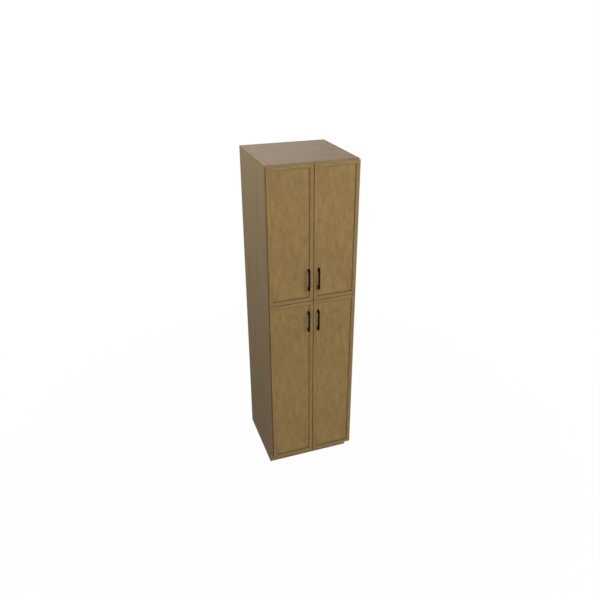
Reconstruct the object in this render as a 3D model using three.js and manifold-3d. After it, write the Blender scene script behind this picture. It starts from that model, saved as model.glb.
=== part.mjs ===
// A tall broom cupboard on a recessed plinth: a case with a face frame, two upper and two lower
// doors on concealed hinges, and four bar pulls. Millimetres, z up, front towards -y,
// origin on the floor at the centre of the footprint.
import * as THREE from 'three';
import { mergeVertices } from 'three/addons/utils/BufferGeometryUtils.js';
import Module from 'manifold-3d';

const wasm = await Module();
wasm.setup();

// Case
const caseWidth = 609.6;
const caseDepth = 609.6; // front of the face frame to the wall
const caseHeight = 2286;
const sideThickness = 19.05;
const topThickness = 19.05;
const bottomThickness = 19.05;
const shelfThickness = 19.05;
const backThickness = 12.7;
const dadoDepth = 6.35; // groove in a side that holds a shelf or the bottom
const rabbetDepth = 9.5; // step in a side that holds the back
const hangingRailHeight = 88.9;
const hangingRailThickness = 19.05;

// Plinth
const toeHeight = 101.6;
const toeRecess = 71.4; // behind the front of the face frame
const toeBoardThickness = 12.7;

// Face frame
const frameThickness = 19.05;
const frameStileWidth = 38.1;
const frameRailHeight = 38.1;

// Loose shelf in the upper compartment, on two cleats
const shelfHeightShare = 0.5; // of the upper compartment's height
const shelfSideGap = 1.6;
const shelfFrontGap = 25;
const shelfBackGap = 2;
const cleatWidth = 16;
const cleatHeight = 19;
const cleatSetback = 30; // cleat's front end behind the shelf's front edge

// Doors
const doorThickness = 19.05;
const doorGap = 3.2; // closed door to face frame
const sideReveal = 1.6;
const topReveal = 4.8;
const bottomReveal = 3.2;
const meetingGap = 3.2; // between neighbouring doors
const upperDoorHeight = 914.4;
const doorStileWidth = 25.4;
const doorRailWidth = 25.4;
const panelRecess = 6.35; // panel's face behind the frame's face
const panelGap = 0.4; // all round, between the panel and the door's frame
const tongueThickness = 6.35;
const tongueSetback = 3.2; // tongue behind the panel's back face
const tongueLength = 8;
const grooveClearance = 0.2;

// Concealed hinges
const cupRadius = 17.5;
const cupEdge = 3; // wood left between the cup and the door's edge
const cupDepth = 11.2;
const cupWall = 1;
const pocketClearance = 0.3;
const flangeThickness = 1.2;
const flangeLip = 1;
const earSpacing = 48; // between the cup's two screws
const earOffset = 6; // screws beyond the cup's centre, away from the door's edge
const earRadius = 5.5;
const pinRadius = 1;
const pinInset = 7; // hinge axis to the door's edge
const pinDepth = 7.8; // hinge axis below the door's back face
const pinSeat = 0.6; // how far the pin runs into the cup's wall
const knuckleRadius = 2.2;
const knuckleClearance = 0.25;
const hingeClearance = 0.3;
const armWidth = 8;
const armRise = 1.5; // arm to the far wall of the cup
const plateHeight = 44;
const plateSetback = 1.5; // plate's edges inside the face frame's thickness
const upperHingeCount = 2;
const lowerHingeCount = 3;
const hingeEndDistance = 89; // first hinge to the end of the door

// Pulls
const pullLength = 151;
const pullReach = 26; // off the panel
const pullWidth = 11;
const pullBarDepth = 8;
const pullFootHeight = 23;
const pullOuterRound = 7;
const pullInnerRound = 5;
const pullEdgeRound = 1.2;
const pullFromEdge = 32.4; // centre of the pull to the door's meeting edge
const upperPullRise = 79; // pull's lower end above the upper door's lower edge
const lowerPullDrop = 74; // pull's upper end below the lower door's upper edge

const overrun = 5; // how far a cutter passes the wood it cuts
const cupFacets = 24;
const pinFacets = 12;
const arcSteps = 3;
const smoothSteps = 1;

// Planes worked out from the sizes
const frontReach = doorGap + doorThickness - panelRecess + pullReach;
const frontY = (frontReach - caseDepth) / 2; // front of the face frame
const frameBackY = frontY + frameThickness;
const wallY = frontY + caseDepth;
const backFaceY = wallY - backThickness;
const toeFaceY = frontY + toeRecess;
const outerX = caseWidth / 2;
const innerX = outerX - sideThickness;
const openingX = outerX - frameStileWidth;
const topUnderside = caseHeight - topThickness;
const upperDoorBottom = caseHeight - topReveal - upperDoorHeight;
const lowerDoorBottom = toeHeight + bottomReveal;
const lowerDoorHeight = upperDoorBottom - meetingGap - lowerDoorBottom;
const splitZ = upperDoorBottom - meetingGap / 2;
const bottomRailTop = toeHeight + frameRailHeight;
const midRailTop = splitZ + frameRailHeight / 2;
const topRailBottom = caseHeight - frameRailHeight;
const doorWidth = outerX - sideReveal - meetingGap / 2;
const doorEdgeX = outerX - sideReveal;
const panelThickness = doorThickness - panelRecess;
const cupCentre = cupEdge + cupRadius;
const cupBore = cupRadius - cupWall;
const armThickness = doorGap - flangeThickness - hingeClearance * 2;

const veneer = new THREE.MeshStandardMaterial({ color: 0x8c754d, roughness: 0.55, metalness: 0 });
const caseVeneer = new THREE.MeshStandardMaterial({ color: 0x7f6f58, roughness: 0.6, metalness: 0 });
const interior = new THREE.MeshStandardMaterial({ color: 0xc9ab7c, roughness: 0.6, metalness: 0 });
const blackMetal = new THREE.MeshStandardMaterial({ color: 0x141210, roughness: 0.4, metalness: 0.7 });
const nickel = new THREE.MeshStandardMaterial({ color: 0xb9b7b0, roughness: 0.3, metalness: 1 });

function mesh(name, geometry, material) {
  const piece = new THREE.Mesh(geometry, material.clone());
  piece.name = name;
  return piece;
}

// A block whose faces lie exactly on the values given, in either order.
function block(xs, ys, zs) {
  const geometry = new THREE.BoxGeometry(1, 1, 1);
  const position = geometry.attributes.position;
  const pick = (value, [a, b]) => (value < 0 ? Math.min(a, b) : Math.max(a, b));
  for (let i = 0; i < position.count; i++) {
    position.setXYZ(
      i,
      pick(position.getX(i), xs),
      pick(position.getY(i), ys),
      pick(position.getZ(i), zs)
    );
  }
  return geometry;
}

function solid(geometry) {
  const bare = geometry.clone();
  bare.deleteAttribute('normal');
  bare.deleteAttribute('uv');
  const merged = mergeVertices(bare.index ? bare.toNonIndexed() : bare);
  return new wasm.Manifold(new wasm.Mesh({
    numProp: 3,
    vertProperties: new Float32Array(merged.attributes.position.array),
    triVerts: new Uint32Array(merged.index.array),
  }));
}

function shape(body) {
  const { vertProperties, triVerts } = body.getMesh();
  const geometry = new THREE.BufferGeometry();
  geometry.setAttribute('position', new THREE.BufferAttribute(vertProperties, 3));
  geometry.setIndex(new THREE.BufferAttribute(triVerts, 1));
  const flat = geometry.toNonIndexed();
  flat.computeVertexNormals();
  return flat;
}

function cut(geometry, ...cutters) {
  return shape(cutters.reduce((body, cutter) => body.subtract(solid(cutter)), solid(geometry)));
}

function join(geometry, ...others) {
  return shape(others.reduce((body, other) => body.add(solid(other)), solid(geometry)));
}

// A round bar along y or z, between two ends.
function rod(radius, facets, axis, [x, y, z], [from, to]) {
  const geometry = new THREE.CylinderGeometry(radius, radius, to - from, facets);
  if (axis === 'z') geometry.rotateX(Math.PI / 2);
  const middle = (from + to) / 2;
  return geometry.translate(x, axis === 'y' ? middle : y, axis === 'z' ? middle : z);
}

// A side: stepped for the back, grooved for the bottom and the fixed shelf, notched for the toes.
function caseSide(name, side) {
  const inside = [side * (innerX - overrun), side * (innerX + dadoDepth)];
  const dadoY = [frameBackY - overrun, backFaceY];
  return mesh(name, cut(
    block([side * innerX, side * outerX], [frameBackY, wallY], [0, caseHeight]),
    block(
      [side * (innerX - overrun), side * (outerX + overrun)],
      [frameBackY - overrun, toeFaceY],
      [-overrun, toeHeight]
    ),
    block(
      [side * (innerX - overrun), side * (innerX + rabbetDepth)],
      [backFaceY, wallY + overrun],
      [-overrun, topUnderside]
    ),
    block(inside, dadoY, [bottomRailTop - bottomThickness, bottomRailTop]),
    block(inside, dadoY, [midRailTop - shelfThickness, midRailTop])
  ), caseVeneer);
}

function casePanels() {
  const dadoX = innerX + dadoDepth;
  const rabbetX = innerX + rabbetDepth;
  const board = (name, x, ys, zs, material) => mesh(name, block([-x, x], ys, zs), material);
  return [
    board('top_panel', innerX, [frameBackY, wallY], [topUnderside, caseHeight], caseVeneer),
    board('fixed_shelf', dadoX, [frameBackY, backFaceY],
      [midRailTop - shelfThickness, midRailTop], interior),
    board('bottom_panel', dadoX, [frameBackY, backFaceY],
      [bottomRailTop - bottomThickness, bottomRailTop], interior),
    board('back_panel', rabbetX, [backFaceY, wallY], [0, topUnderside], interior),
    board('hanging_rail', innerX, [backFaceY - hangingRailThickness, backFaceY],
      [topUnderside - hangingRailHeight, topUnderside], interior),
    board('toe_board', innerX, [toeFaceY, toeFaceY + toeBoardThickness],
      [0, bottomRailTop - bottomThickness], caseVeneer),
  ];
}

function faceFrame() {
  const ys = [frontY, frameBackY];
  const rail = (name, bottom) => mesh(
    name, block([-openingX, openingX], ys, [bottom, bottom + frameRailHeight]), veneer
  );
  const stile = (name, side) => mesh(
    name, block([side * openingX, side * outerX], ys, [toeHeight, caseHeight]), veneer
  );
  return [
    stile('frame_left_stile', -1),
    stile('frame_right_stile', 1),
    rail('frame_top_rail', topRailBottom),
    rail('frame_middle_rail', midRailTop - frameRailHeight),
    rail('frame_bottom_rail', toeHeight),
  ];
}

function looseShelf() {
  const underside = midRailTop + (topUnderside - midRailTop) * shelfHeightShare;
  const front = frameBackY + shelfFrontGap;
  const back = backFaceY - shelfBackGap;
  const cleat = (name, side) => mesh(name, block(
    [side * innerX, side * (innerX - cleatWidth)],
    [front + cleatSetback, backFaceY],
    [underside - cleatHeight, underside]
  ), interior);
  const halfWidth = innerX - shelfSideGap;
  return [
    mesh('adjustable_shelf', block(
      [-halfWidth, halfWidth], [front, back], [underside, underside + shelfThickness]
    ), interior),
    cleat('shelf_cleat_left', -1),
    cleat('shelf_cleat_right', 1),
  ];
}

// Where a door's hinges sit above its lower edge.
function hingeHeights(doorHeight, count) {
  const step = (doorHeight - hingeEndDistance * 2) / (count - 1);
  return Array.from({ length: count }, (_, i) => hingeEndDistance + step * i);
}

// The cup, sunk in the door: hollow, with a lip, two ears for screws and the pin across it.
// Its own origin is at the cup's centre on the door's back face.
function hingeCup(inward) {
  const rim = cupRadius + flangeLip;
  const outline = [
    [0, -cupDepth],
    [cupRadius, -cupDepth],
    [cupRadius, 0],
    [rim, 0],
    [rim, flangeThickness],
    [cupBore, flangeThickness],
    [cupBore, cupWall - cupDepth],
    [0, cupWall - cupDepth],
  ].map(([r, y]) => new THREE.Vector2(r, y));
  const cup = new THREE.LatheGeometry(outline, cupFacets);

  const earX = inward * earOffset;
  const earY = [0, flangeThickness];
  const ears = join(
    block([earX - earRadius, earX + earRadius], earY, [-earSpacing / 2, earSpacing / 2]),
    rod(earRadius, pinFacets, 'y', [earX, 0, -earSpacing / 2], earY),
    rod(earRadius, pinFacets, 'y', [earX, 0, earSpacing / 2], earY)
  );
  const mouth = rod(cupRadius, cupFacets, 'y', [0, 0, 0], [-overrun, flangeThickness + overrun]);

  const pinX = cupCentre - pinInset;
  const halfPin = Math.sqrt(cupBore ** 2 - pinX ** 2) + pinSeat;
  const pin = rod(pinRadius, pinFacets, 'z', [-inward * pinX, -pinDepth, 0], [-halfPin, halfPin]);
  return join(cup, cut(ears, mouth), pin);
}

// A flat strip of even thickness along a line of corners, as a shape.
function strip(corners, thickness) {
  const points = corners.map(([x, y]) => new THREE.Vector2(x, y));
  const left = [];
  const right = [];
  points.forEach((point, i) => {
    const before = points[i - 1] ?? point;
    const after = points[i + 1] ?? point;
    const turnIn = point.clone().sub(before).normalize();
    const turnOut = after.clone().sub(point).normalize();
    const along = turnIn.clone().add(turnOut).normalize();
    const normal = new THREE.Vector2(-along.y, along.x);
    const edge = i === 0 ? turnOut : turnIn;
    const reach = thickness / 2 / Math.abs(normal.dot(new THREE.Vector2(-edge.y, edge.x)));
    left.push(point.clone().addScaledVector(normal, reach));
    right.unshift(point.clone().addScaledVector(normal, -reach));
  });
  return new THREE.Shape([...left, ...right]);
}

// The arm, fixed to the inner edge of the face frame: it wraps round the frame's front corner,
// drops into the cup and ends in a knuckle on the pin. Its own origin is at the door's edge,
// on the front of the face frame.
function hingeArm(inward) {
  const axisY = -(doorGap + pinDepth);
  const riseX = cupCentre + cupBore - armRise - armThickness / 2;
  const passY = -(hingeClearance + armThickness / 2);
  const edgeX = doorEdgeX - openingX + hingeClearance;
  const plateX = edgeX + armThickness / 2;
  const plateEnd = frameThickness - plateSetback;
  const bend = strip([
    [inward * pinInset, axisY],
    [inward * riseX, axisY],
    [inward * riseX, passY],
    [inward * plateX, passY],
    [inward * plateX, plateEnd],
  ], armThickness);
  const arm = new THREE.ExtrudeGeometry(bend, { depth: armWidth, bevelEnabled: false })
    .translate(0, 0, -armWidth / 2);
  const plate = block(
    [inward * edgeX, inward * (edgeX + armThickness)],
    [plateSetback, plateEnd],
    [-plateHeight / 2, plateHeight / 2]
  );
  const centre = [inward * pinInset, axisY, 0];
  const halfWidth = armWidth / 2;
  const knuckle = rod(knuckleRadius, pinFacets, 'z', centre, [-halfWidth, halfWidth]);
  const eye = rod(
    pinRadius + knuckleClearance, pinFacets, 'z', centre,
    [-halfWidth - overrun, halfWidth + overrun]
  );
  return cut(join(arm, plate, knuckle), eye);
}

// The pull: a bar on two feet, drawn from the side and given its width, with its edges eased.
function pull() {
  const inner = pullReach - pullBarDepth;
  const far = pullLength - pullFootHeight;
  const side = new THREE.Shape();
  side.moveTo(0, 0);
  side.lineTo(pullReach - pullOuterRound, 0);
  side.quadraticCurveTo(pullReach, 0, pullReach, pullOuterRound);
  side.lineTo(pullReach, pullLength - pullOuterRound);
  side.quadraticCurveTo(pullReach, pullLength, pullReach - pullOuterRound, pullLength);
  side.lineTo(0, pullLength);
  side.lineTo(0, far);
  side.lineTo(inner - pullInnerRound, far);
  side.quadraticCurveTo(inner, far, inner, far - pullInnerRound);
  side.lineTo(inner, pullFootHeight + pullInnerRound);
  side.quadraticCurveTo(inner, pullFootHeight, inner - pullInnerRound, pullFootHeight);
  side.lineTo(0, pullFootHeight);
  side.closePath();
  const flatWidth = pullWidth - pullEdgeRound * 2;
  const geometry = new THREE.ExtrudeGeometry(side, {
    depth: flatWidth,
    curveSegments: arcSteps,
    bevelEnabled: true,
    bevelSize: pullEdgeRound,
    bevelOffset: -pullEdgeRound,
    bevelThickness: pullEdgeRound,
    bevelSegments: smoothSteps,
  }).translate(0, 0, -flatWidth / 2);
  const outward = new THREE.Vector3(0, -1, 0);
  const up = new THREE.Vector3(0, 0, 1);
  const across = new THREE.Vector3(-1, 0, 0);
  return geometry.applyMatrix4(new THREE.Matrix4().makeBasis(outward, up, across));
}

// The wood of one door, in its own frame: x from the hinge edge, y = 0 on the back face,
// z from the lower edge. Stiles run full height, rails stand between them on stub tenons,
// and the panel's tongue lies in a groove all round.
function doorWood(name, inward, height, hinges) {
  const xs = (a, b) => [inward * a, inward * b];
  const ys = [-doorThickness, 0];
  const tongueY = [-tongueSetback - tongueThickness, -tongueSetback];
  const grooveY = [tongueY[0] - grooveClearance, tongueY[1] + grooveClearance];
  const grooveDepth = tongueLength + grooveClearance;
  const farStile = doorWidth - doorStileWidth;
  const pockets = hinges.map((z) => rod(
    cupRadius + pocketClearance, cupFacets, 'y', [inward * cupCentre, 0, z],
    [-cupDepth - pocketClearance, overrun]
  ));
  const grooveZ = [-overrun, height + overrun];

  const hingeStile = cut(
    block(xs(0, doorStileWidth), ys, [0, height]),
    block(xs(doorStileWidth - grooveDepth, doorStileWidth + overrun), grooveY, grooveZ),
    ...pockets
  );
  const meetingStile = cut(
    block(xs(farStile, doorWidth), ys, [0, height]),
    block(xs(farStile - overrun, farStile + grooveDepth), grooveY, grooveZ)
  );
  const rail = (outerZ, up) => {
    const shoulder = outerZ + up * doorRailWidth;
    const grooveBottom = shoulder - up * grooveDepth;
    const tenonX = xs(doorStileWidth - tongueLength, farStile + tongueLength);
    return cut(
      join(
        block(xs(doorStileWidth, farStile), ys, [outerZ, shoulder]),
        block(tenonX, tongueY, [outerZ, grooveBottom])
      ),
      block(
        xs(doorStileWidth - tongueLength - overrun, farStile + tongueLength + overrun),
        grooveY,
        [grooveBottom, shoulder + up * overrun]
      )
    );
  };
  const panelX = xs(doorStileWidth + panelGap, farStile - panelGap);
  const panelZ = [doorRailWidth + panelGap, height - doorRailWidth - panelGap];
  const panel = cut(
    join(
      block(panelX, [-panelThickness, 0], panelZ),
      block(
        xs(doorStileWidth - tongueLength, farStile + tongueLength),
        tongueY,
        [doorRailWidth - tongueLength, height - doorRailWidth + tongueLength]
      )
    ),
    ...pockets
  );
  return [
    mesh(`${name}_hinge_stile`, hingeStile, veneer),
    mesh(`${name}_meeting_stile`, meetingStile, veneer),
    mesh(`${name}_bottom_rail`, rail(0, 1), veneer),
    mesh(`${name}_top_rail`, rail(height, -1), veneer),
    mesh(`${name}_panel`, panel, veneer),
  ];
}

// One door with its cups and its pull. side is -1 for a left door and 1 for a right one.
function door(name, side, bottom, height, hinges, pullBottom) {
  const inward = -side;
  const leaf = new THREE.Group();
  leaf.position.set(side * doorEdgeX, frontY - doorGap, bottom);
  leaf.add(...doorWood(name, inward, height, hinges));
  hinges.forEach((z, i) => {
    const cup = mesh(`${name}_hinge_cup_${i + 1}`, hingeCup(inward), nickel);
    cup.position.set(inward * cupCentre, 0, z);
    leaf.add(cup);
  });
  const grip = mesh(`${name}_pull`, pull(), blackMetal);
  grip.position.set(inward * (doorWidth - pullFromEdge), -panelThickness, pullBottom);
  leaf.add(grip);
  return leaf;
}

function hingeArms(name, side, bottom, hinges) {
  return hinges.map((z, i) => {
    const arm = mesh(`${name}_hinge_arm_${i + 1}`, hingeArm(-side), nickel);
    arm.position.set(side * doorEdgeX, frontY, bottom + z);
    return arm;
  });
}

const cupboard = new THREE.Group();
cupboard.add(
  caseSide('left_side', -1),
  caseSide('right_side', 1),
  ...casePanels(),
  ...faceFrame(),
  ...looseShelf()
);
const rows = [
  {
    name: 'upper',
    bottom: upperDoorBottom,
    height: upperDoorHeight,
    hinges: hingeHeights(upperDoorHeight, upperHingeCount),
    pullBottom: upperPullRise,
  },
  {
    name: 'lower',
    bottom: lowerDoorBottom,
    height: lowerDoorHeight,
    hinges: hingeHeights(lowerDoorHeight, lowerHingeCount),
    pullBottom: lowerDoorHeight - lowerPullDrop - pullLength,
  },
];
for (const row of rows) {
  for (const [hand, side] of [['left', -1], ['right', 1]]) {
    const name = `${row.name}_${hand}_door`;
    cupboard.add(door(name, side, row.bottom, row.height, row.hinges, row.pullBottom));
    cupboard.add(...hingeArms(name, side, row.bottom, row.hinges));
  }
}

export default cupboard;
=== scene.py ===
import math

import bpy
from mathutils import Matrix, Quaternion, Vector


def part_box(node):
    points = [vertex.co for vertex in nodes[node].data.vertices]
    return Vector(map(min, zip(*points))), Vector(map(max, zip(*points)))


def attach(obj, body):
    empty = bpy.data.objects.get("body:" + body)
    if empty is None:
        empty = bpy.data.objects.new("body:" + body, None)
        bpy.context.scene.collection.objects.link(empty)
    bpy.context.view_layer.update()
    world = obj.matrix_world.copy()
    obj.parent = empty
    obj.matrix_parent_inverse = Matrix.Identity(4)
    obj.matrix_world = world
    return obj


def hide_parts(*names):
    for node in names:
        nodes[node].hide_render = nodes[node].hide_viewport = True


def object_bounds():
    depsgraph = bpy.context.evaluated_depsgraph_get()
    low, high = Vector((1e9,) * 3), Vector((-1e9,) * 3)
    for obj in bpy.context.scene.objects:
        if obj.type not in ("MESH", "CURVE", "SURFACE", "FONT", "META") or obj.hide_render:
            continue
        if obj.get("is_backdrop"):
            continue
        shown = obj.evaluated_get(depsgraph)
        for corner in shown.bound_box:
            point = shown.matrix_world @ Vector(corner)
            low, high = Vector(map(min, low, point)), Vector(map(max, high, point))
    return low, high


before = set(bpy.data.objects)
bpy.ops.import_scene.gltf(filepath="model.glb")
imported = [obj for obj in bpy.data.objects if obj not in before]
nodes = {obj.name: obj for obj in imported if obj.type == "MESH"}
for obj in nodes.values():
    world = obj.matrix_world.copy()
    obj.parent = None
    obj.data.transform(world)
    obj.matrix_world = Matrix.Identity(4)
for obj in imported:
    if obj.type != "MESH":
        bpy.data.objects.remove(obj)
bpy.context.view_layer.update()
mm = 0.001  # metres in a millimetre
print("frame loaded:", len(nodes), "nodes")

# Camera, at the photo's place and angle
photoCamera = {
    "place": (-1.21388, -3.55354, 3.10077),
    "downTurn": 25.484,  # degrees below the horizon
    "rightTurn": 19.557,  # degrees to the right of straight ahead
    "lens": 35,
    "sensor": 36,
    "imageSize": 600,
    "middlePixel": (304.41, 288.66),  # where the lens axis meets the picture
}


def placeCamera(look):
    halfImage = (look["imageSize"] - 1) / 2
    bpy.ops.object.camera_add(
        location=look["place"],
        rotation=(math.radians(90 - look["downTurn"]), 0, -math.radians(look["rightTurn"])),
    )
    camera = bpy.context.active_object
    camera.data.lens = look["lens"]
    camera.data.sensor_width = look["sensor"]
    camera.data.shift_x = (halfImage - look["middlePixel"][0]) / look["imageSize"]
    camera.data.shift_y = (look["middlePixel"][1] - halfImage) / look["imageSize"]
    bpy.context.scene.camera = camera


bpy.ops.object.select_all(action="DESELECT")
placeCamera(photoCamera)
print("camera placed")

# Edges and heights that the finishes follow, in mm, read from the frame
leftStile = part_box("lower_left_door_hinge_stile")
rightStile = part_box("lower_right_door_hinge_stile")
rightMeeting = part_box("lower_right_door_meeting_stile")
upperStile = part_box("upper_left_door_hinge_stile")
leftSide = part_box("left_side")
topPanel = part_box("top_panel")

door = {
    "left": leftStile[0].x / mm,
    "pitch": (rightMeeting[0].x - leftStile[0].x) / mm,  # one door's left edge to the next one's
    "width": (rightStile[1].x - rightMeeting[0].x) / mm,
    "lowerBottom": leftStile[0].z / mm,
    "lowerHeight": (leftStile[1].z - leftStile[0].z) / mm,
    "upperBottom": upperStile[0].z / mm,
    "upperHeight": (upperStile[1].z - upperStile[0].z) / mm,
    "stile": (leftStile[1].x - leftStile[0].x) / mm,
    "intoGap": 1,  # this far below the upper doors there is no door
}
case = {
    "innerX": -leftSide[1].x / mm,  # inner face of the sides, off the middle
    "wallY": leftSide[1].y / mm,
    "topUnderside": topPanel[0].z / mm,
}
easedEdge = {
    "case": 0.5,  # mm of rounding
    "door": 0.8,
    "metal": 0.25,
    "weld": 0.01,  # mm between points that are one
    "flat": 1,  # degrees below which faces are merged
    "angle": 40,  # degrees from which an edge is rounded
    "steps": 2,
}


def linear(hexColour):  # an sRGB hex value as Blender's linear colour
    channels = [int(hexColour[i:i + 2], 16) / 255 for i in (1, 3, 5)]
    return [c / 12.92 if c <= 0.04045 else ((c + 0.055) / 1.055) ** 2.4 for c in channels] + [1]


def addNode(tree, kind, inputs=(), **settings):  # inputs in order or by name: a value, or what feeds it
    node = tree.nodes.new("ShaderNode" + kind)
    for name, value in settings.items():
        setattr(node, name, value)
    named = inputs.items() if isinstance(inputs, dict) else enumerate(inputs)
    for name, value in named:
        if isinstance(value, bpy.types.Node):
            value = value.outputs[0]
        if isinstance(value, bpy.types.NodeSocket):
            tree.links.new(value, node.inputs[name])
        else:
            node.inputs[name].default_value = value
    return node


def newMaterial(name):
    material = bpy.data.materials.new(name)
    material.use_nodes = True
    tree = material.node_tree
    tree.nodes.clear()
    return material, tree


# Wood, wiped with a brown stain under a matt lacquer: soft golden and rosy patches along the
# grain, fine leaning streaks, pores that took more stain, and only a dull shine. Sizes are in
# mm. Pores and streaks are a few times coarser than real ones, so that they show.
doorWood = {
    "tones": ("#947e4c", "#92784d", "#8b7247"),  # golden, rosy and brown patches
    "grain": "z",
    "cloud": (32, 78),  # width and length of the patches
    "shade": (55, 190),
    "shadeDepth": 0.05,
    "mottle": (9, 17),
    "mottleDepth": 0.07,
    "streak": (2.4, 30),
    "streakDepth": 0.05,
    "pore": (1.1, 14),
    "poreDepth": 0.1,
    "sway": 14,  # how far the grain wanders sideways
    "lean": 5,  # degrees
    "roughness": 0.52,
    "specular": 0.2,
    "ior": 1.5,
    "bump": 0.15,
    "seed": 0,
}
# Figure at the same place on every panel, measured from the door's lower left corner. The arch lies
# higher than the upper doors reach, so that only the lower ones show it.
panelFigure = {
    "arch": {
        "place": (168, 1140),
        "bow": 12,  # how round the tip is
        "taper": 0.8,  # how far aside for each mm down
        "pitch": 55,  # from one ring to the next
        "firstRing": 13,
        "unevenness": 20,
        "darkLine": 0.16,  # share of the pitch over which the dark line fades
        "lightBand": (0.7, 0.95),  # shares of the pitch over which the light band comes up
        "drop": 12,  # from the tip to the middle of where it shows
        "reach": (72, 50.4),  # half width and half height of where it shows
        "fade": (0.3, 1.1),  # shares of the reach over which it fades
        "strength": (0.36, 0.03),  # in the middle and away from it
    },
    "markFade": 1.6,  # times a mark's size at which it is gone
    # place, half width and half height, turn in degrees, tone
    "marks": (
        ((45, 715), (5, 8), 0, -0.2),
        ((45, 693), (5, 14), 36, 0.2),
        ((36, 574), (4.5, 14), 25, 0.15),
        ((50, 576), (5, 17), -42, 0.17),
        ((42, 580), (3.5, 6), 0, -0.16),
        ((27, 602), (4, 9), 0, -0.12),
        ((87, 103), (7, 9), 0, -0.17),
        ((84, 76), (9, 26), 10, 0.1),
        ((66, 60), (13, 34), -10, 0.08),
    ),
}
# Solid frames: plainer than the panels, with narrow patches along each piece
stileWood = dict(
    doorWood, tones=("#99804e", "#917851", "#8f7346"), cloud=(20, 90), specular=0.12, seed=58,
)
railWood = dict(stileWood, tones=("#968050", "#8d7753", "#8b7348"), specular=0.2, grain="x", seed=143)
frameStileWood = dict(stileWood, specular=0.06, seed=205)
frameRailWood = dict(railWood, seed=205)
# Toe board: tones painted lighter, as painted light on a board that lies in the toe space's shade
toeWoodPaintedLighter = dict(railWood, tones=("#a08a56", "#97805a", "#957c4e"), seed=260)
# Veneer of the case: browner and more even, in long faint stripes
sideWood = dict(
    doorWood, tones=("#887047", "#896e47", "#846943"), cloud=(60, 400),
    shadeDepth=0.03, mottleDepth=0.04, sway=5, lean=0, roughness=0.6, specular=0.06, seed=310,
)
topWood = dict(
    sideWood, tones=("#8d754a", "#8d714e", "#866c46"), grain="x", roughness=0.5, specular=0.31,
)
# Maple ply under clear lacquer: pale, even and faintly striped, a little shinier
plyWood = dict(
    doorWood, tones=("#cdb081", "#c7a878", "#c2a070"), cloud=(50, 300),
    shadeDepth=0.03, mottleDepth=0.05, sway=8, lean=0, specular=0.3, roughness=0.45, seed=620,
)
levelPlyWood = dict(plyWood, grain="x")
# How noise becomes the figure of every wood
woodNoise = {
    "middle": 0.5,  # what noise lies around
    "swayPatch": (70, 160),  # width and length over which the grain wanders, in mm
    "swayDetail": 1,
    "detail": {"cloud": 2, "shade": 1, "mottle": 3, "streak": 2, "pore": 1},
    "roughness": 0.6,
    "toneStops": (0.36, 0.52, 0.66),
    "poreEdge": (0.56, 0.68),  # where a pore starts, and where it is full
    "spread": {"mottle": 0.25, "shade": 0.2, "streak": 0.2},  # off the middle, up to the full depth
}
lacquer = {
    "vary": 0.05,  # how far the roughness goes either way
    "noise": (0.3, 0.7),  # the noise over which it does
    "relief": 0.3,  # depth of the pores in mm
}


def placeInMm(tree):  # object coordinates in mm, and the object's own normal
    coordinates = addNode(tree, "TexCoord")
    inMm = addNode(
        tree, "VectorMath", {0: coordinates.outputs["Object"], "Scale": 1 / mm}, operation="SCALE"
    )
    return addNode(tree, "SeparateXYZ", [inMm]), coordinates.outputs["Normal"]


def woodTone(tree, look, across, depth, along):  # colour, how light it is, pores and mottle of one wood
    order = (along, depth, across) if look["grain"] == "x" else (across, depth, along)
    place = addNode(tree, "CombineXYZ", order)
    lean = (0, math.radians(look["lean"]), 0)
    seeded = addNode(tree, "Mapping", [place, (look["seed"],) * 3, lean])
    width, length = woodNoise["swayPatch"]
    stretch = (1 / width, 1 / width, 1 / length)
    swayPlace = addNode(tree, "Mapping", {"Vector": seeded, "Scale": stretch})
    settings = {"Vector": swayPlace, "Scale": 1, "Detail": woodNoise["swayDetail"]}
    swayNoise = addNode(tree, "TexNoise", settings)
    middle = woodNoise["middle"]
    operands = [swayNoise.outputs["Color"], (middle, middle, middle)]
    swayBy = addNode(tree, "VectorMath", operands, operation="SUBTRACT")
    reach = (look["sway"], look["sway"], 0)
    swayed = addNode(tree, "VectorMath", [swayBy, reach, seeded], operation="MULTIPLY_ADD")

    layers = {}
    for name, detail in woodNoise["detail"].items():
        width, length = look[name]
        stretch = (1 / width, 1 / width, 1 / length)
        place = addNode(tree, "Mapping", {"Vector": swayed, "Scale": stretch})
        settings = {"Vector": place, "Scale": 1, "Detail": detail, "Roughness": woodNoise["roughness"]}
        layers[name] = addNode(tree, "TexNoise", settings)

    tones = addNode(tree, "ValToRGB", [layers["cloud"]])
    tones.color_ramp.interpolation = "EASE"
    stops = tones.color_ramp.elements
    stops.new(woodNoise["toneStops"][1])
    for i, (position, tone) in enumerate(zip(woodNoise["toneStops"], look["tones"])):
        stops[i].position = position
        stops[i].color = linear(tone)

    settings = [layers["pore"], *woodNoise["poreEdge"], 0, 1]
    pores = addNode(tree, "MapRange", settings, interpolation_type="SMOOTHSTEP")
    value = addNode(tree, "Math", [pores, -look["poreDepth"], 1], operation="MULTIPLY_ADD")
    for name, spread in woodNoise["spread"].items():
        depth = look[name + "Depth"]
        settings = [layers[name], middle - spread, middle + spread, -depth, depth]
        change = addNode(tree, "MapRange", settings)
        value = addNode(tree, "Math", [value, change], operation="ADD")
    return tones.outputs["Color"], value, pores, layers["mottle"]


def addMarks(tree, value, flat, figure):  # knots and flames, each a soft oval
    for place, size, turn, tone in figure["marks"]:
        spot = addNode(
            tree, "Mapping",
            [flat, (place[0], 0, place[1]), (0, math.radians(turn), 0), (size[0], 1, size[1])],
            vector_type="TEXTURE",
        )
        away = addNode(tree, "VectorMath", [spot], operation="LENGTH").outputs["Value"]
        settings = [away, 0, figure["markFade"], tone, 0]
        mark = addNode(tree, "MapRange", settings, interpolation_type="SMOOTHSTEP")
        value = addNode(tree, "Math", [value, mark], operation="ADD")
    return value


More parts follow.
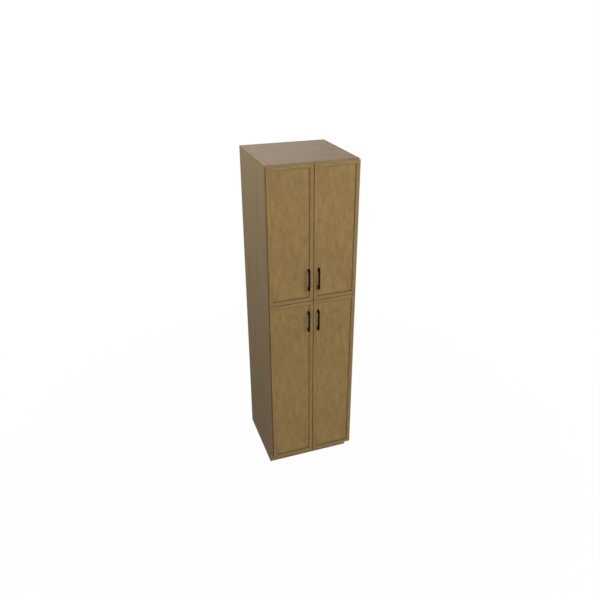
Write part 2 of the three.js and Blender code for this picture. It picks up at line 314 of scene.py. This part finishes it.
# Pointed growth rings, one above the other
def addArch(tree, value, flat, across, along, wobble, arch):
    archX, archZ = arch["place"]
    bow, taper, pitch = arch["bow"], arch["taper"], arch["pitch"]
    aside = addNode(tree, "Math", [across, archX], operation="SUBTRACT")
    squared = addNode(tree, "Math", [aside, aside, bow ** 2], operation="MULTIPLY_ADD")
    rounded = addNode(tree, "Math", [squared], operation="SQRT")
    rise = addNode(tree, "Math", [rounded, 1 / taper, -bow / taper - archZ], operation="MULTIPLY_ADD")
    uneven = addNode(tree, "Math", [wobble, arch["unevenness"], rise], operation="MULTIPLY_ADD")
    place = addNode(tree, "Math", [along, uneven], operation="ADD")
    start = -arch["firstRing"] / pitch
    rings = addNode(tree, "Math", [place, 1 / pitch, start], operation="MULTIPLY_ADD")
    ring = addNode(tree, "Math", [rings], operation="FRACT")
    settings = [ring, 0, arch["darkLine"], -1, 0]
    darkLine = addNode(tree, "MapRange", settings, interpolation_type="SMOOTHSTEP")
    settings = [ring, *arch["lightBand"], 0, 1]
    lightBand = addNode(tree, "MapRange", settings, interpolation_type="SMOOTHSTEP")
    lines = addNode(tree, "Math", [darkLine, lightBand], operation="ADD")
    halfWidth, halfHeight = arch["reach"]
    near = addNode(
        tree, "Mapping",
        [flat, (archX, 0, archZ - arch["drop"]), (0, 0, 0), (halfWidth, 1, halfHeight)],
        vector_type="TEXTURE",
    )
    away = addNode(tree, "VectorMath", [near], operation="LENGTH").outputs["Value"]
    settings = [away, *arch["fade"], *arch["strength"]]
    strength = addNode(tree, "MapRange", settings, interpolation_type="SMOOTHSTEP")
    return addNode(tree, "Math", [lines, strength, value], operation="MULTIPLY_ADD")


# Darker beside edges and joints, by how far it reaches in mm and how much it takes away: painted shade
# in the recesses where panel meets frame and in the gaps between doors, and a dark joint line where a
# rail meets a stile. The stile and the rail are their edges towards the panel, and the sill is the
# lower rail's.
panelPaintedShade = {"stile": (5, 0.13), "rail": (5, 0.06), "sill": (16, 0.22)}
stilePaintedShade = {"stile": (6, 0.11), "doorSide": (3, 0.15)}
railJointsAndPaintedShade = {"rail": (5, 0.26), "stile": (1.2, 0.35), "doorEnd": (3, 0.05)}
# How much of the face's red, green and blue each edge shows: painted shade on the doors' side edges and
# on the lower doors' top edges in the gap, and a painted bluish sheen on the upper doors' top edges
doorEdgeShadeAndLight = {"side": (0.68, 0.65, 0.58), "upperTop": (0.96, 0.99, 1.23), "lowerTop": (0.68, 0.68, 0.7)}
# Face frame: painted shade on faces turned sideways, painted bluish sheen on faces turned up
frameEdgeShadeAndLight = {"sideways": (0.66, 0.64, 0.56), "upward": (0.93, 0.98, 1.22)}
# Case sides: painted light with a bluish sheen on their front and top edges
boardEdgePaintedLight = {"forward": (1.5, 1.6, 2.1), "upward": (1.64, 1.74, 2.24)}
edgeFacing = (0.6, 0.9)  # how squarely a face looks that way where its tint starts and is full


# Across and along from a door's lower left corner, the door's height, and 1 for the upper row
def doorPlace(tree, axes):
    rightHand = addNode(tree, "Math", [axes.outputs["X"], 0], operation="GREATER_THAN")
    fromLeft = addNode(tree, "Math", [axes.outputs["X"], door["left"]], operation="SUBTRACT")
    across = addNode(tree, "Math", [rightHand, -door["pitch"], fromLeft], operation="MULTIPLY_ADD")
    rowBorder = door["upperBottom"] - door["intoGap"]
    upperRow = addNode(tree, "Math", [axes.outputs["Z"], rowBorder], operation="GREATER_THAN")
    raised = addNode(tree, "Math", [axes.outputs["Z"], door["lowerBottom"]], operation="SUBTRACT")
    drop = door["lowerBottom"] - door["upperBottom"]
    along = addNode(tree, "Math", [upperRow, drop, raised], operation="MULTIPLY_ADD")
    growth = door["upperHeight"] - door["lowerHeight"]
    height = addNode(tree, "Math", [upperRow, growth, door["lowerHeight"]], operation="MULTIPLY_ADD")
    return across, along, height, upperRow


# How far a point is from each edge that the painted shade and the joint lines follow
def doorDistances(tree, across, along, height):
    farSide = addNode(tree, "Math", [door["width"], across], operation="SUBTRACT")
    nearSide = addNode(tree, "Math", [across, farSide], operation="MINIMUM")
    farEnd = addNode(tree, "Math", [height, along], operation="SUBTRACT")
    nearEnd = addNode(tree, "Math", [along, farEnd], operation="MINIMUM")
    distances = {"doorSide": nearSide, "doorEnd": nearEnd, "doorTop": farEnd}
    for name, edge in (("stile", nearSide), ("rail", nearEnd), ("sill", along)):
        beyond = addNode(tree, "Math", [edge, door["stile"]], operation="SUBTRACT")
        distances[name] = addNode(tree, "Math", [beyond], operation="ABSOLUTE")
    return distances


def tintWhere(tree, colour, level, tint):  # the colour, times tint where level is 1
    settings = {0: level, 6: (1, 1, 1, 1), 7: (*tint, 1)}
    factor = addNode(tree, "Mix", settings, data_type="RGBA").outputs[2]
    return addNode(tree, "VectorMath", [colour, factor], operation="MULTIPLY")


def paintLightByFacing(tree, colour, normal, edges):  # painted light and shade on faces, by the way they face
    facing = addNode(tree, "SeparateXYZ", [normal])
    turned = {
        "sideways": addNode(tree, "Math", [facing.outputs["X"]], operation="ABSOLUTE"),
        "forward": addNode(tree, "Math", [0, facing.outputs["Y"]], operation="SUBTRACT"),
        "upward": facing.outputs["Z"],
    }
    for name, tint in edges.items():
        settings = [turned[name], *edgeFacing, 0, 1]
        level = addNode(tree, "MapRange", settings, interpolation_type="SMOOTHSTEP")
        colour = tintWhere(tree, colour, level, tint)
    return colour


# Matt lacquer over the colour, dull where the wood is open. Shine is how much it mirrors, where that
# isn't the same all over.
def finishWood(tree, look, colour, pores, mottle, shine=None):
    low, high = look["roughness"] - lacquer["vary"], look["roughness"] + lacquer["vary"]
    roughness = addNode(tree, "MapRange", [mottle, *lacquer["noise"], high, low])
    settings = {"Strength": look["bump"], "Distance": lacquer["relief"] * mm, "Height": pores}
    relief = addNode(tree, "Bump", settings, invert=True)
    shader = addNode(tree, "BsdfPrincipled", {
        "Base Color": colour, "Roughness": roughness, "Normal": relief,
        "IOR": look["ior"], "Specular IOR Level": look["specular"] if shine is None else shine,
    })
    addNode(tree, "OutputMaterial", [shader])


def makeDoorWood(name, look, jointsAndPaintedShade, figure=None):
    material, tree = newMaterial(name)
    axes = placeInMm(tree)[0]
    across, along, height, upperRow = doorPlace(tree, axes)
    tones, value, pores, mottle = woodTone(tree, look, across, axes.outputs["Y"], along)
    if figure:
        flat = addNode(tree, "CombineXYZ", [across, 0, along])
        value = addMarks(tree, value, flat, figure)
        value = addArch(tree, value, flat, across, along, mottle, figure["arch"])
    distances = doorDistances(tree, across, along, height)
    # Painted shade beside the recesses and in the gaps, and the dark joint lines
    for edge, (reach, depth) in jointsAndPaintedShade.items():
        settings = [distances[edge], 0, reach, depth, 0]
        darker = addNode(tree, "MapRange", settings, interpolation_type="SMOOTHSTEP")
        value = addNode(tree, "Math", [value, darker], operation="SUBTRACT")
    colour = addNode(tree, "VectorMath", {0: tones, "Scale": value}, operation="SCALE")

    # Painted shade on the side edges and the lower doors' top edges, painted sheen on the upper doors'
    # top edges
    eased = easedEdge["door"]
    onSide = addNode(tree, "MapRange", [distances["doorSide"], 0, eased, 1, 0])
    onTop = addNode(tree, "MapRange", [distances["doorTop"], 0, eased, 1, 0])
    onUpperTop = addNode(tree, "Math", [onTop, upperRow], operation="MULTIPLY")
    onLowerTop = addNode(tree, "Math", [onTop, onUpperTop], operation="SUBTRACT")
    for edge, level in (("side", onSide), ("upperTop", onUpperTop), ("lowerTop", onLowerTop)):
        colour = tintWhere(tree, colour, level, doorEdgeShadeAndLight[edge])
    # The side edges are dull, which keeps the line between door and case dark
    shine = addNode(tree, "MapRange", [distances["doorSide"], 0, eased, 0, look["specular"]])
    finishWood(tree, look, colour, pores, mottle, shine)
    return material


def makePlainWood(name, look, edges=None):
    material, tree = newMaterial(name)
    axes, normal = placeInMm(tree)
    tones, value, pores, mottle = woodTone(tree, look, *axes.outputs)
    colour = addNode(tree, "VectorMath", {0: tones, "Scale": value}, operation="SCALE")
    if edges:
        colour = paintLightByFacing(tree, colour, normal, edges)
    finishWood(tree, look, colour, pores, mottle)
    return material


# Case boards: stained outside, clear-lacquered inside, and bare plies along the edge at the wall
boardEdge = {
    "ply": 1.6,  # mm of each layer
    "layers": ("#c3a577", "#8f7148"),
    "reach": 0.6,  # how far from the wall face the bare edge goes
    "joint": (8, 0.4),  # dark line of the top board beside the sides: mm, and how much it takes away
    "paintedLightStrip": (42, 0.17),  # painted light: a lighter strip of the top beside the right side: mm, and how much it adds
}


def makeCaseBoard(name, outside, inside, thicknessAxis, innerPlane):
    material, tree = newMaterial(name)
    axes, normal = placeInMm(tree)
    tones, value, pores, mottle = woodTone(tree, outside, *axes.outputs)
    offMiddle = addNode(tree, "Math", [axes.outputs["X"]], operation="ABSOLUTE")
    if thicknessAxis == "Z":
        # Painted light in a strip of the top beside the right side
        reach, gain = boardEdge["paintedLightStrip"]
        strip = [axes.outputs["X"], case["innerX"] - reach, case["innerX"] - reach / 2, 0, gain]
        lighter = addNode(tree, "MapRange", strip, interpolation_type="SMOOTHSTEP")
        value = addNode(tree, "Math", [value, lighter], operation="ADD")
        reach, depth = boardEdge["joint"]
        joint = addNode(tree, "MapRange", [offMiddle, case["innerX"] - reach, case["innerX"], 0, depth])
        value = addNode(tree, "Math", [value, joint], operation="SUBTRACT")
    stained = addNode(tree, "VectorMath", {0: tones, "Scale": value}, operation="SCALE")
    # painted light on the front and top edges of the sides
    if thicknessAxis == "X":
        stained = paintLightByFacing(tree, stained, normal, boardEdgePaintedLight)
    clearTones, clearValue = woodTone(tree, inside, *axes.outputs)[:2]
    clear = addNode(tree, "VectorMath", {0: clearTones, "Scale": clearValue}, operation="SCALE")

    through = offMiddle if thicknessAxis == "X" else axes.outputs["Z"]
    isInside = addNode(tree, "Math", [through, innerPlane + boardEdge["reach"]], operation="LESS_THAN")
    face = addNode(tree, "Mix", {0: isInside, 6: stained, 7: clear}, data_type="RGBA").outputs[2]
    layers = addNode(tree, "Math", [through, 2 * boardEdge["ply"]], operation="DIVIDE")
    layer = addNode(tree, "Math", [layers], operation="FRACT")
    isDark = addNode(tree, "Math", [layer, 0.5], operation="GREATER_THAN")
    light, dark = boardEdge["layers"]
    plies = addNode(tree, "Mix", {0: isDark, 6: linear(light), 7: linear(dark)}, data_type="RGBA")
    atWall = addNode(
        tree, "Math", [axes.outputs["Y"], case["wallY"] - boardEdge["reach"]], operation="GREATER_THAN"
    )
    settings = {0: atWall, 6: face, 7: plies.outputs[2]}
    colour = addNode(tree, "Mix", settings, data_type="RGBA").outputs[2]
    finishWood(tree, outside, colour, pores, mottle)
    return material


panelVeneer = makeDoorWood("stained_veneer_panel", doorWood, panelPaintedShade, panelFigure)
stileStain = makeDoorWood("stained_hardwood_stile", stileWood, stilePaintedShade)
railStain = makeDoorWood("stained_hardwood_rail", railWood, railJointsAndPaintedShade)
frameStileStain = makePlainWood("stained_hardwood_frame_stile", frameStileWood, frameEdgeShadeAndLight)
frameRailStain = makePlainWood("stained_hardwood_frame_rail", frameRailWood, frameEdgeShadeAndLight)
toeStainPaintedLighter = makePlainWood("stained_hardwood_toe_board", toeWoodPaintedLighter)
sideBoard = makeCaseBoard("stained_veneer_side", sideWood, plyWood, "X", case["innerX"])
topBoard = makeCaseBoard("stained_veneer_top", topWood, levelPlyWood, "Z", case["topUnderside"])
plyUpright = makePlainWood("clear_maple_ply_upright", plyWood)
plyLevel = makePlainWood("clear_maple_ply_level", levelPlyWood)
print("woods made")

# Metal and rubber. Grit is the size of the unevenness in mm.
blackCoat = {
    "colour": "#0a0909", "grit": 0.6, "roughness": 0.42, "specular": 0.06, "ior": 1.5, "bump": 0.12,
}
nickelPlate = {"colour": "#b9b7b0", "grit": 0.5, "roughness": 0.3, "bump": 0.08}
zincPlate = {"colour": "#c2c5c9", "grit": 0.3, "roughness": 0.36, "bump": 0.05}
silicone = {
    "colour": "#e4e7e5", "grit": 0.4, "roughness": 0.3, "clear": 0.6, "ior": 1.41, "bump": 0.05,
}
coat = {
    "vary": 0.06,  # as for the lacquer
    "noise": (0.3, 0.7),
    "relief": 0.05,
    "detail": 2,
    "drawn": 12,  # times that the lines of drawn steel are as long as wide
}


def addGrit(tree, look, stretch):  # fine unevenness of a surface, as bump and as roughness
    coordinates = addNode(tree, "TexCoord")
    fine = 1 / (look["grit"] * mm)
    scale = (fine, fine, fine / stretch)
    place = addNode(tree, "Mapping", {"Vector": coordinates.outputs["Object"], "Scale": scale})
    grit = addNode(tree, "TexNoise", {"Vector": place, "Scale": 1, "Detail": coat["detail"]})
    settings = {"Strength": look["bump"], "Distance": coat["relief"] * mm, "Height": grit}
    relief = addNode(tree, "Bump", settings)
    low, high = look["roughness"] - coat["vary"], look["roughness"] + coat["vary"]
    return relief, addNode(tree, "MapRange", [grit, *coat["noise"], low, high])


def makePowderCoat(name, look):  # zinc casting under a satin black powder coat: dark, soft highlights
    material, tree = newMaterial(name)
    relief, roughness = addGrit(tree, look, 1)
    shader = addNode(tree, "BsdfPrincipled", {
        "Base Color": linear(look["colour"]), "Roughness": roughness, "Normal": relief,
        "IOR": look["ior"], "Specular IOR Level": look["specular"],
    })
    addNode(tree, "OutputMaterial", [shader])
    return material


def makePlatedSteel(name, look):  # pressed or headed steel under a dull plate: faint lines along it
    material, tree = newMaterial(name)
    relief, roughness = addGrit(tree, look, coat["drawn"])
    shader = addNode(tree, "BsdfPrincipled", {
        "Base Color": linear(look["colour"]), "Metallic": 1, "Roughness": roughness, "Normal": relief,
    })
    addNode(tree, "OutputMaterial", [shader])
    return material


def makeSilicone(name, look):  # moulded clear silicone: milky, soft-edged, lets the wood show through
    material, tree = newMaterial(name)
    relief, roughness = addGrit(tree, look, 1)
    shader = addNode(tree, "BsdfPrincipled", {
        "Base Color": linear(look["colour"]), "Roughness": roughness, "Normal": relief,
        "IOR": look["ior"], "Transmission Weight": look["clear"],
    })
    addNode(tree, "OutputMaterial", [shader])
    return material


blackMetal = makePowderCoat("black_powder_coat", blackCoat)
nickelSteel = makePlatedSteel("nickel_plated_steel", nickelPlate)
zincSteel = makePlatedSteel("zinc_plated_steel", zincPlate)
clearRubber = makeSilicone("clear_silicone_rubber", silicone)
print("metals and rubber made")

nodeFinish = {
    "left_side": sideBoard, "right_side": sideBoard, "top_panel": topBoard, "toe_board": toeStainPaintedLighter,
    "fixed_shelf": plyLevel, "bottom_panel": plyLevel, "adjustable_shelf": plyLevel,
    "back_panel": plyUpright, "hanging_rail": plyLevel,
    "shelf_cleat_left": plyLevel, "shelf_cleat_right": plyLevel,
}


def finishOf(name):
    if name in nodeFinish:
        return nodeFinish[name]
    if name.startswith("frame_"):
        return frameStileStain if name.endswith("stile") else frameRailStain
    if "hinge_arm" in name or "hinge_cup" in name:
        return nickelSteel
    if name.endswith("_pull"):
        return blackMetal
    if name.endswith("_panel"):
        return panelVeneer
    return railStain if name.endswith("_rail") else stileStain


def easeEdges(node, radius):  # welds the loose triangles, clears the flats and rounds what is left
    weld = node.modifiers.new("weld", "WELD")
    weld.merge_threshold = easedEdge["weld"] * mm
    flats = node.modifiers.new("flats", "DECIMATE")
    flats.decimate_type = "DISSOLVE"
    flats.angle_limit = math.radians(easedEdge["flat"])
    bevel = node.modifiers.new("eased", "BEVEL")
    bevel.width = radius * mm
    bevel.segments = easedEdge["steps"]
    bevel.limit_method = "ANGLE"
    bevel.angle_limit = math.radians(easedEdge["angle"])


for name, node in nodes.items():
    node.material_slots[0].material = finishOf(name)
    if "hinge_arm" in name or "hinge_cup" in name:
        easeEdges(node, easedEdge["metal"])
    else:
        easeEdges(node, easedEdge["door"] if "_door_" in name else easedEdge["case"])
print("finishes given")


# Making pieces
tolerance = 0.01  # mm within which a point counts as at a place
squarely = 0.99  # least part of a face's normal along the way that it has to look
smooth = {"metal": 35, "rubber": 50}  # degrees up to which edges are shaded smooth
roundSides = 32  # of screw heads and bumpers


def pickFaces(piece, wanted):  # selects the faces whose middle, in mm, and normal pass, in edit mode
    bpy.ops.object.mode_set(mode="EDIT")
    bpy.ops.mesh.select_mode(type="FACE")
    bpy.ops.mesh.select_all(action="DESELECT")
    bpy.ops.object.mode_set(mode="OBJECT")
    for face in piece.data.polygons:
        face.select = wanted(face.center / mm, face.normal)
    bpy.ops.object.mode_set(mode="EDIT")


def pickEdges(piece, wanted):  # selects the edges whose two ends, in mm, pass, in edit mode
    bpy.ops.object.mode_set(mode="EDIT")
    bpy.ops.mesh.select_mode(type="EDGE")
    bpy.ops.mesh.select_all(action="DESELECT")
    bpy.ops.object.mode_set(mode="OBJECT")
    points = piece.data.vertices
    for edge in piece.data.edges:
        start, end = (points[i].co / mm for i in edge.vertices)
        edge.select = wanted(start, end)
    bpy.ops.object.mode_set(mode="EDIT")


def finishModel(piece, material, smoothAngle):
    bpy.ops.object.mode_set(mode="OBJECT")
    bpy.ops.object.shade_smooth_by_angle(angle=math.radians(smoothAngle))
    piece.data.materials.append(material)


def copyPiece(model, name, place, facing=None, roll=0):  # model's +Z turned to facing
    bpy.ops.object.select_all(action="DESELECT")
    model.select_set(True)
    bpy.context.view_layer.objects.active = model
    bpy.ops.object.duplicate()
    piece = bpy.context.active_object
    piece.name = name
    piece.location = place
    if facing:
        turn = Vector(facing).to_track_quat("Z", "Y") @ Quaternion((0, 0, 1), roll)
        piece.rotation_euler = turn.to_euler()
    bpy.ops.object.transform_apply(location=True, rotation=True, scale=False)
    return piece


def removeModel(model):
    bpy.ops.object.select_all(action="DESELECT")
    model.select_set(True)
    bpy.ops.object.delete()


# Pulls, cast with their feet
pull = {
    "barDepth": 8,  # mm
    "footHeight": 23,
    "outerRound": 7,
    "innerRound": 5,
    "steps": 7,
    "edgeRound": 1.2,
    "edgeSteps": 3,
    "edgeAngle": 50,  # degrees from which an edge is rounded
}
doorNames = ["upper_left_door", "upper_right_door", "lower_left_door", "lower_right_door"]


def liesAcross(start, end, depth, heights):  # across the pull, at that depth and one of the heights
    level = abs(start.z - end.z) < tolerance and abs(start.y - end.y) < tolerance
    atDepth = abs(start.y - depth) < tolerance
    return level and atDepth and min(abs(start.z - height) for height in heights) < tolerance


def makePull(name, look):
    low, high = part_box(name)
    middle = (low + high) / 2
    barDepth = look["barDepth"] * mm
    bpy.ops.object.select_all(action="DESELECT")
    bpy.ops.mesh.primitive_cube_add(
        size=1, location=(middle.x, low.y + barDepth / 2, middle.z),
        scale=(high.x - low.x, barDepth, high.z - low.z),
    )
    piece = bpy.context.active_object
    bpy.ops.object.transform_apply(location=True, rotation=True, scale=True)
    ends = (low.z / mm, high.z / mm)
    feet = (ends[0] + look["footHeight"], ends[1] - look["footHeight"])
    bpy.ops.object.mode_set(mode="EDIT")
    for height in feet:
        bpy.ops.mesh.select_all(action="SELECT")
        bpy.ops.mesh.bisect(plane_co=(0, 0, height * mm), plane_no=(0, 0, 1))

    pickFaces(piece, lambda centre, normal: normal.y > squarely and not feet[0] < centre.z < feet[1])
    reach = high.y - low.y - barDepth
    bpy.ops.mesh.extrude_region_move(TRANSFORM_OT_translate={"value": (0, reach, 0)})
    front = low.y / mm
    pickEdges(piece, lambda start, end: liesAcross(start, end, front, ends))
    bpy.ops.mesh.bevel(offset=look["outerRound"] * mm, segments=look["steps"], affect="EDGES")
    barBack = front + look["barDepth"]
    pickEdges(piece, lambda start, end: liesAcross(start, end, barBack, feet))
    bpy.ops.mesh.bevel(offset=look["innerRound"] * mm, segments=look["steps"], affect="EDGES")
    bpy.ops.object.mode_set(mode="OBJECT")
    bevel = piece.modifiers.new("edges", "BEVEL")
    bevel.width = look["edgeRound"] * mm
    bevel.segments = look["edgeSteps"]
    bevel.angle_limit = math.radians(look["edgeAngle"])
    bpy.ops.object.modifier_apply(modifier="edges")
    finishModel(piece, blackMetal, smooth["metal"])
    return piece, low


pullModel, pullModelLow = makePull("upper_left_door_pull", pull)
for doorName in doorNames:
    low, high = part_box(doorName + "_pull")
    piece = copyPiece(pullModel, doorName + "_pull_casting", low - pullModelLow)
    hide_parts(doorName + "_pull")
    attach(piece, doorName)
removeModel(pullModel)
print("pulls made")

# Screws, with sizes in mm. The cross is sunk in a flat round in the middle of the head.
pullScrew = {"head": 9, "height": 2.2, "round": 1.6, "recess": 4.6, "slot": 1.3, "depth": 1.2}
hingeScrew = {"head": 6.6, "height": 1.1, "round": 0.9, "recess": 3.6, "slot": 1, "depth": 0.7}
cleatScrew = {"head": 7.2, "height": 1.8, "round": 1.4, "recess": 4, "slot": 1.1, "depth": 1}
screwShape = {
    "roundSteps": 4,
    "rim": 0.1,  # mm of the flat round that the cross leaves at its edge
    "taper": 0.7,  # how wide the cross's floor is to its mouth
}
# How far the first screw of a pair or row is turned, and each next one, in radians
screwTurn = {"pull": (0.5, 0.9), "cup": (0.3, 1), "arm": (0.7, 1), "cleat": (0.4, 0.8)}


def onRecess(centre, normal, look):  # a face of the round in which the cross is sunk
    within = Vector(centre[:2]).length < look["recess"] / 2 - screwShape["rim"]
    return normal.z > squarely and within


def inCross(centre, normal, look):
    return onRecess(centre, normal, look) and min(abs(centre.x), abs(centre.y)) < look["slot"] / 2


def makeScrew(look, material):  # a head with a cross recess, seated at z = 0 and facing up
    radius, height = look["head"] / 2, look["height"]
    bpy.ops.object.select_all(action="DESELECT")
    bpy.ops.mesh.primitive_cylinder_add(
        vertices=roundSides, radius=radius * mm, depth=height * mm, location=(0, 0, height / 2 * mm)
    )
    screw = bpy.context.active_object
    bpy.ops.object.transform_apply(location=True, rotation=True, scale=True)
    pickEdges(screw, lambda start, end: min(start.z, end.z) > height - tolerance)
    bpy.ops.mesh.bevel(offset=look["round"] * mm, segments=screwShape["roundSteps"], affect="EDGES")
    pickFaces(screw, lambda centre, normal: normal.z > squarely and centre.z > height - tolerance)
    bpy.ops.mesh.inset(thickness=(radius - look["round"] - look["recess"] / 2) * mm)

    halfSlot = look["slot"] / 2
    for across in ((1, 0, 0), (0, 1, 0)):
        for side in (-1, 1):
            pickFaces(screw, lambda centre, normal: onRecess(centre, normal, look))
            bpy.ops.mesh.bisect(plane_co=Vector(across) * side * halfSlot * mm, plane_no=across)
    pickFaces(screw, lambda centre, normal: inCross(centre, normal, look))
    bpy.ops.mesh.extrude_region_move(TRANSFORM_OT_translate={"value": (0, 0, -look["depth"] * mm)})
    taper = screwShape["taper"]
    bpy.ops.transform.resize(value=(taper, taper, 1), center_override=(0, 0, 0))
    finishModel(screw, material, smooth["metal"])
    return screw


def rideScrew(model, owner, i, body, place, facing, kind):  # the screw number i of its owner
    first, step = screwTurn[kind]
    piece = copyPiece(model, f"{owner}_screw_{i + 1}", place, facing, first + step * i)
    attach(piece, body)


toBack = (0, 1, 0)
screwModel = makeScrew(pullScrew, zincSteel)
for doorName in doorNames:
    low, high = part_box(doorName + "_pull")
    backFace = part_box(doorName + "_panel")[1].y
    footMiddle = pull["footHeight"] / 2 * mm
    for i, height in enumerate((low.z + footMiddle, high.z - footMiddle)):
        place = ((low.x + high.x) / 2, backFace, height)
        rideScrew(screwModel, doorName + "_pull", i, doorName, place, toBack, "pull")
removeModel(screwModel)

hinge = {
    "earSpacing": 48,  # mm between the two screws of a cup
    "earFromEdge": 26.5,  # from the door's side edge to them
    "armSpacing": 30,  # between the two screws of an arm
}
armMiddle = sum(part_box("frame_left_stile")[i].y for i in (0, 1)) / 2
screwModel = makeScrew(hingeScrew, nickelSteel)
for name in list(nodes):
    if "hinge_cup" not in name and "hinge_arm" not in name:
        continue
    doorName = name.split("_hinge_")[0]
    low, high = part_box(name)
    middle = (low + high) / 2
    outward = 1 if middle.x > 0 else -1
    for i, step in enumerate((-0.5, 0.5)):
        if "hinge_cup" in name:
            x = outward * (-door["left"] - hinge["earFromEdge"]) * mm
            place = (x, high.y, middle.z + step * hinge["earSpacing"] * mm)
            rideScrew(screwModel, name, i, doorName, place, toBack, "cup")
        else:
            x = low.x if outward > 0 else high.x
            place = (x, armMiddle, middle.z + step * hinge["armSpacing"] * mm)
            rideScrew(screwModel, name, i, "case", place, (-outward, 0, 0), "arm")
removeModel(screwModel)

cleatShares = (0.12, 0.5, 0.88)  # of the cleat's length, from its front end
screwModel = makeScrew(cleatScrew, zincSteel)
for name in ("shelf_cleat_left", "shelf_cleat_right"):
    low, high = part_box(name)
    inward = 1 if low.x < 0 else -1
    x = high.x if inward > 0 else low.x
    for i, share in enumerate(cleatShares):
        place = (x, low.y + share * (high.y - low.y), (low.z + high.z) / 2)
        rideScrew(screwModel, name, i, "case", place, (inward, 0, 0), "cleat")
removeModel(screwModel)
print("screws made")

# Door bumpers, stuck on the doors' backs where they meet the face frame
bumper = {"width": 9, "height": 2.6, "round": 2.3, "steps": 5, "fromEdge": 13, "fromEnd": 8.7}  # mm


def makeBumper(look):
    bpy.ops.object.select_all(action="DESELECT")
    bpy.ops.mesh.primitive_cylinder_add(
        vertices=roundSides, radius=look["width"] / 2 * mm, depth=look["height"] * mm,
        location=(0, 0, look["height"] / 2 * mm),
    )
    dome = bpy.context.active_object
    bpy.ops.object.transform_apply(location=True, rotation=True, scale=True)
    pickEdges(dome, lambda start, end: min(start.z, end.z) > look["height"] - tolerance)
    bpy.ops.mesh.bevel(offset=look["round"] * mm, segments=look["steps"], affect="EDGES")
    finishModel(dome, clearRubber, smooth["rubber"])
    return dome


dome = makeBumper(bumper)
for doorName in doorNames:
    low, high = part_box(doorName + "_meeting_stile")
    inward = 1 if low.x > 0 else -1
    x = (low.x if inward > 0 else high.x) + inward * bumper["fromEdge"] * mm
    ends = (low.z + bumper["fromEnd"] * mm, high.z - bumper["fromEnd"] * mm)
    for i, height in enumerate(ends):
        piece = copyPiece(dome, f"{doorName}_bumper_{i + 1}", (x, high.y, height), toBack)
        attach(piece, doorName)
removeModel(dome)
print("bumpers made")

# Floor, light and background
studio = {
    "floor": 60,  # metres across
    "floorColour": "#bfb19b",
    "worldStrength": 0.075,
    "whiteShare": 0.985,  # of the floor's own white near the cupboard, so that its shadow stays soft
    "shadowRoom": (1.2, 3.2),  # metres from the cupboard over which the floor turns all white
}
# A dark card on the floor at the left keeps bounced light off the foot of that side. It is full
# within the first reach, in metres, and gone at the second.
card = {"middle": (-1.1, 0.3, 0), "reach": (0.4, 1.1), "colour": "#3a352d"}
lamps = {  # place, what it is aimed at, size in metres, power in watts, colour
    "key": ((-1.8, -9.4, 5.4), (0, 0, 1.2), 4, 480, "#ffffff"),
    "left": ((-2.0, 0.1, 3.25), (-0.3, 0, 1.6), 1, 54, "#c9deff"),
    "right": ((2.2, -2.6, 3.5), (0, -0.3, 1.6), 1.5, 56, "#ffffff"),
    "farRight": ((3.4, 0.5, 1.6), (0.3, 0.1, 1.2), 1.3, 45, "#ffffff"),
    "behind": ((0.9, 4.6, 1.66), (0, 0, 1.2), 2, 80, "#ffffff"),
}


def seenDirectly(tree):  # 1 for what the camera sees, straight or through metal and glass
    path = addNode(tree, "LightPath")
    rays = [path.outputs["Is Glossy Ray"], path.outputs["Is Transmission Ray"]]
    mirrored = addNode(tree, "Math", rays, operation="MAXIMUM")
    return addNode(tree, "Math", [path.outputs["Is Camera Ray"], mirrored], operation="MAXIMUM")


def makeFloor(look, card):
    bpy.ops.object.select_all(action="DESELECT")
    bpy.ops.mesh.primitive_plane_add(size=look["floor"], location=(0, 0, 0))
    floor = bpy.context.active_object
    floor.name = "studio_floor"
    material, tree = newMaterial("pale_studio_floor")
    place = addNode(tree, "TexCoord").outputs["Object"]
    offCard = addNode(tree, "VectorMath", [place, card["middle"]], operation="DISTANCE")
    settings = [offCard.outputs["Value"], *card["reach"], 0, 1]
    bare = addNode(tree, "MapRange", settings, interpolation_type="SMOOTHSTEP")
    colours = {0: bare, 6: linear(card["colour"]), 7: linear(look["floorColour"])}
    colour = addNode(tree, "Mix", colours, data_type="RGBA").outputs[2]
    matt = addNode(tree, "BsdfDiffuse", [colour])
    white = addNode(tree, "Emission", [(1, 1, 1, 1), 1])
    away = addNode(tree, "VectorMath", [place], operation="LENGTH").outputs["Value"]
    settings = [away, *look["shadowRoom"], look["whiteShare"], 1]
    fade = addNode(tree, "MapRange", settings, interpolation_type="SMOOTHSTEP")
    share = addNode(tree, "Math", [seenDirectly(tree), fade], operation="MULTIPLY")
    mixed = addNode(tree, "MixShader", [share, matt, white])
    addNode(tree, "OutputMaterial", [mixed])
    floor.data.materials.append(material)
    floor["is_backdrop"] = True


def makeWorld(look):
    world = bpy.data.worlds.new("studio_world")
    bpy.context.scene.world = world
    world.use_nodes = True
    tree = world.node_tree
    tree.nodes.clear()
    soft = addNode(tree, "Background", [(1, 1, 1, 1), look["worldStrength"]])
    white = addNode(tree, "Background", [(1, 1, 1, 1), 1])
    mixed = addNode(tree, "MixShader", [seenDirectly(tree), soft, white])
    addNode(tree, "OutputWorld", [mixed])


def placeLamps():
    for name, (place, aim, size, power, colour) in lamps.items():
        turn = (Vector(aim) - Vector(place)).to_track_quat("-Z", "Y").to_euler()
        bpy.ops.object.light_add(type="AREA", location=place, rotation=turn)
        lamp = bpy.context.active_object
        lamp.name = name + "_softbox"
        lamp.data.size = size
        lamp.data.energy = power
        lamp.data.color = linear(colour)[:3]


makeFloor(studio, card)
makeWorld(studio)
placeLamps()
bpy.context.scene.view_settings.view_transform = "Standard"
print("studio set")

low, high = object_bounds()
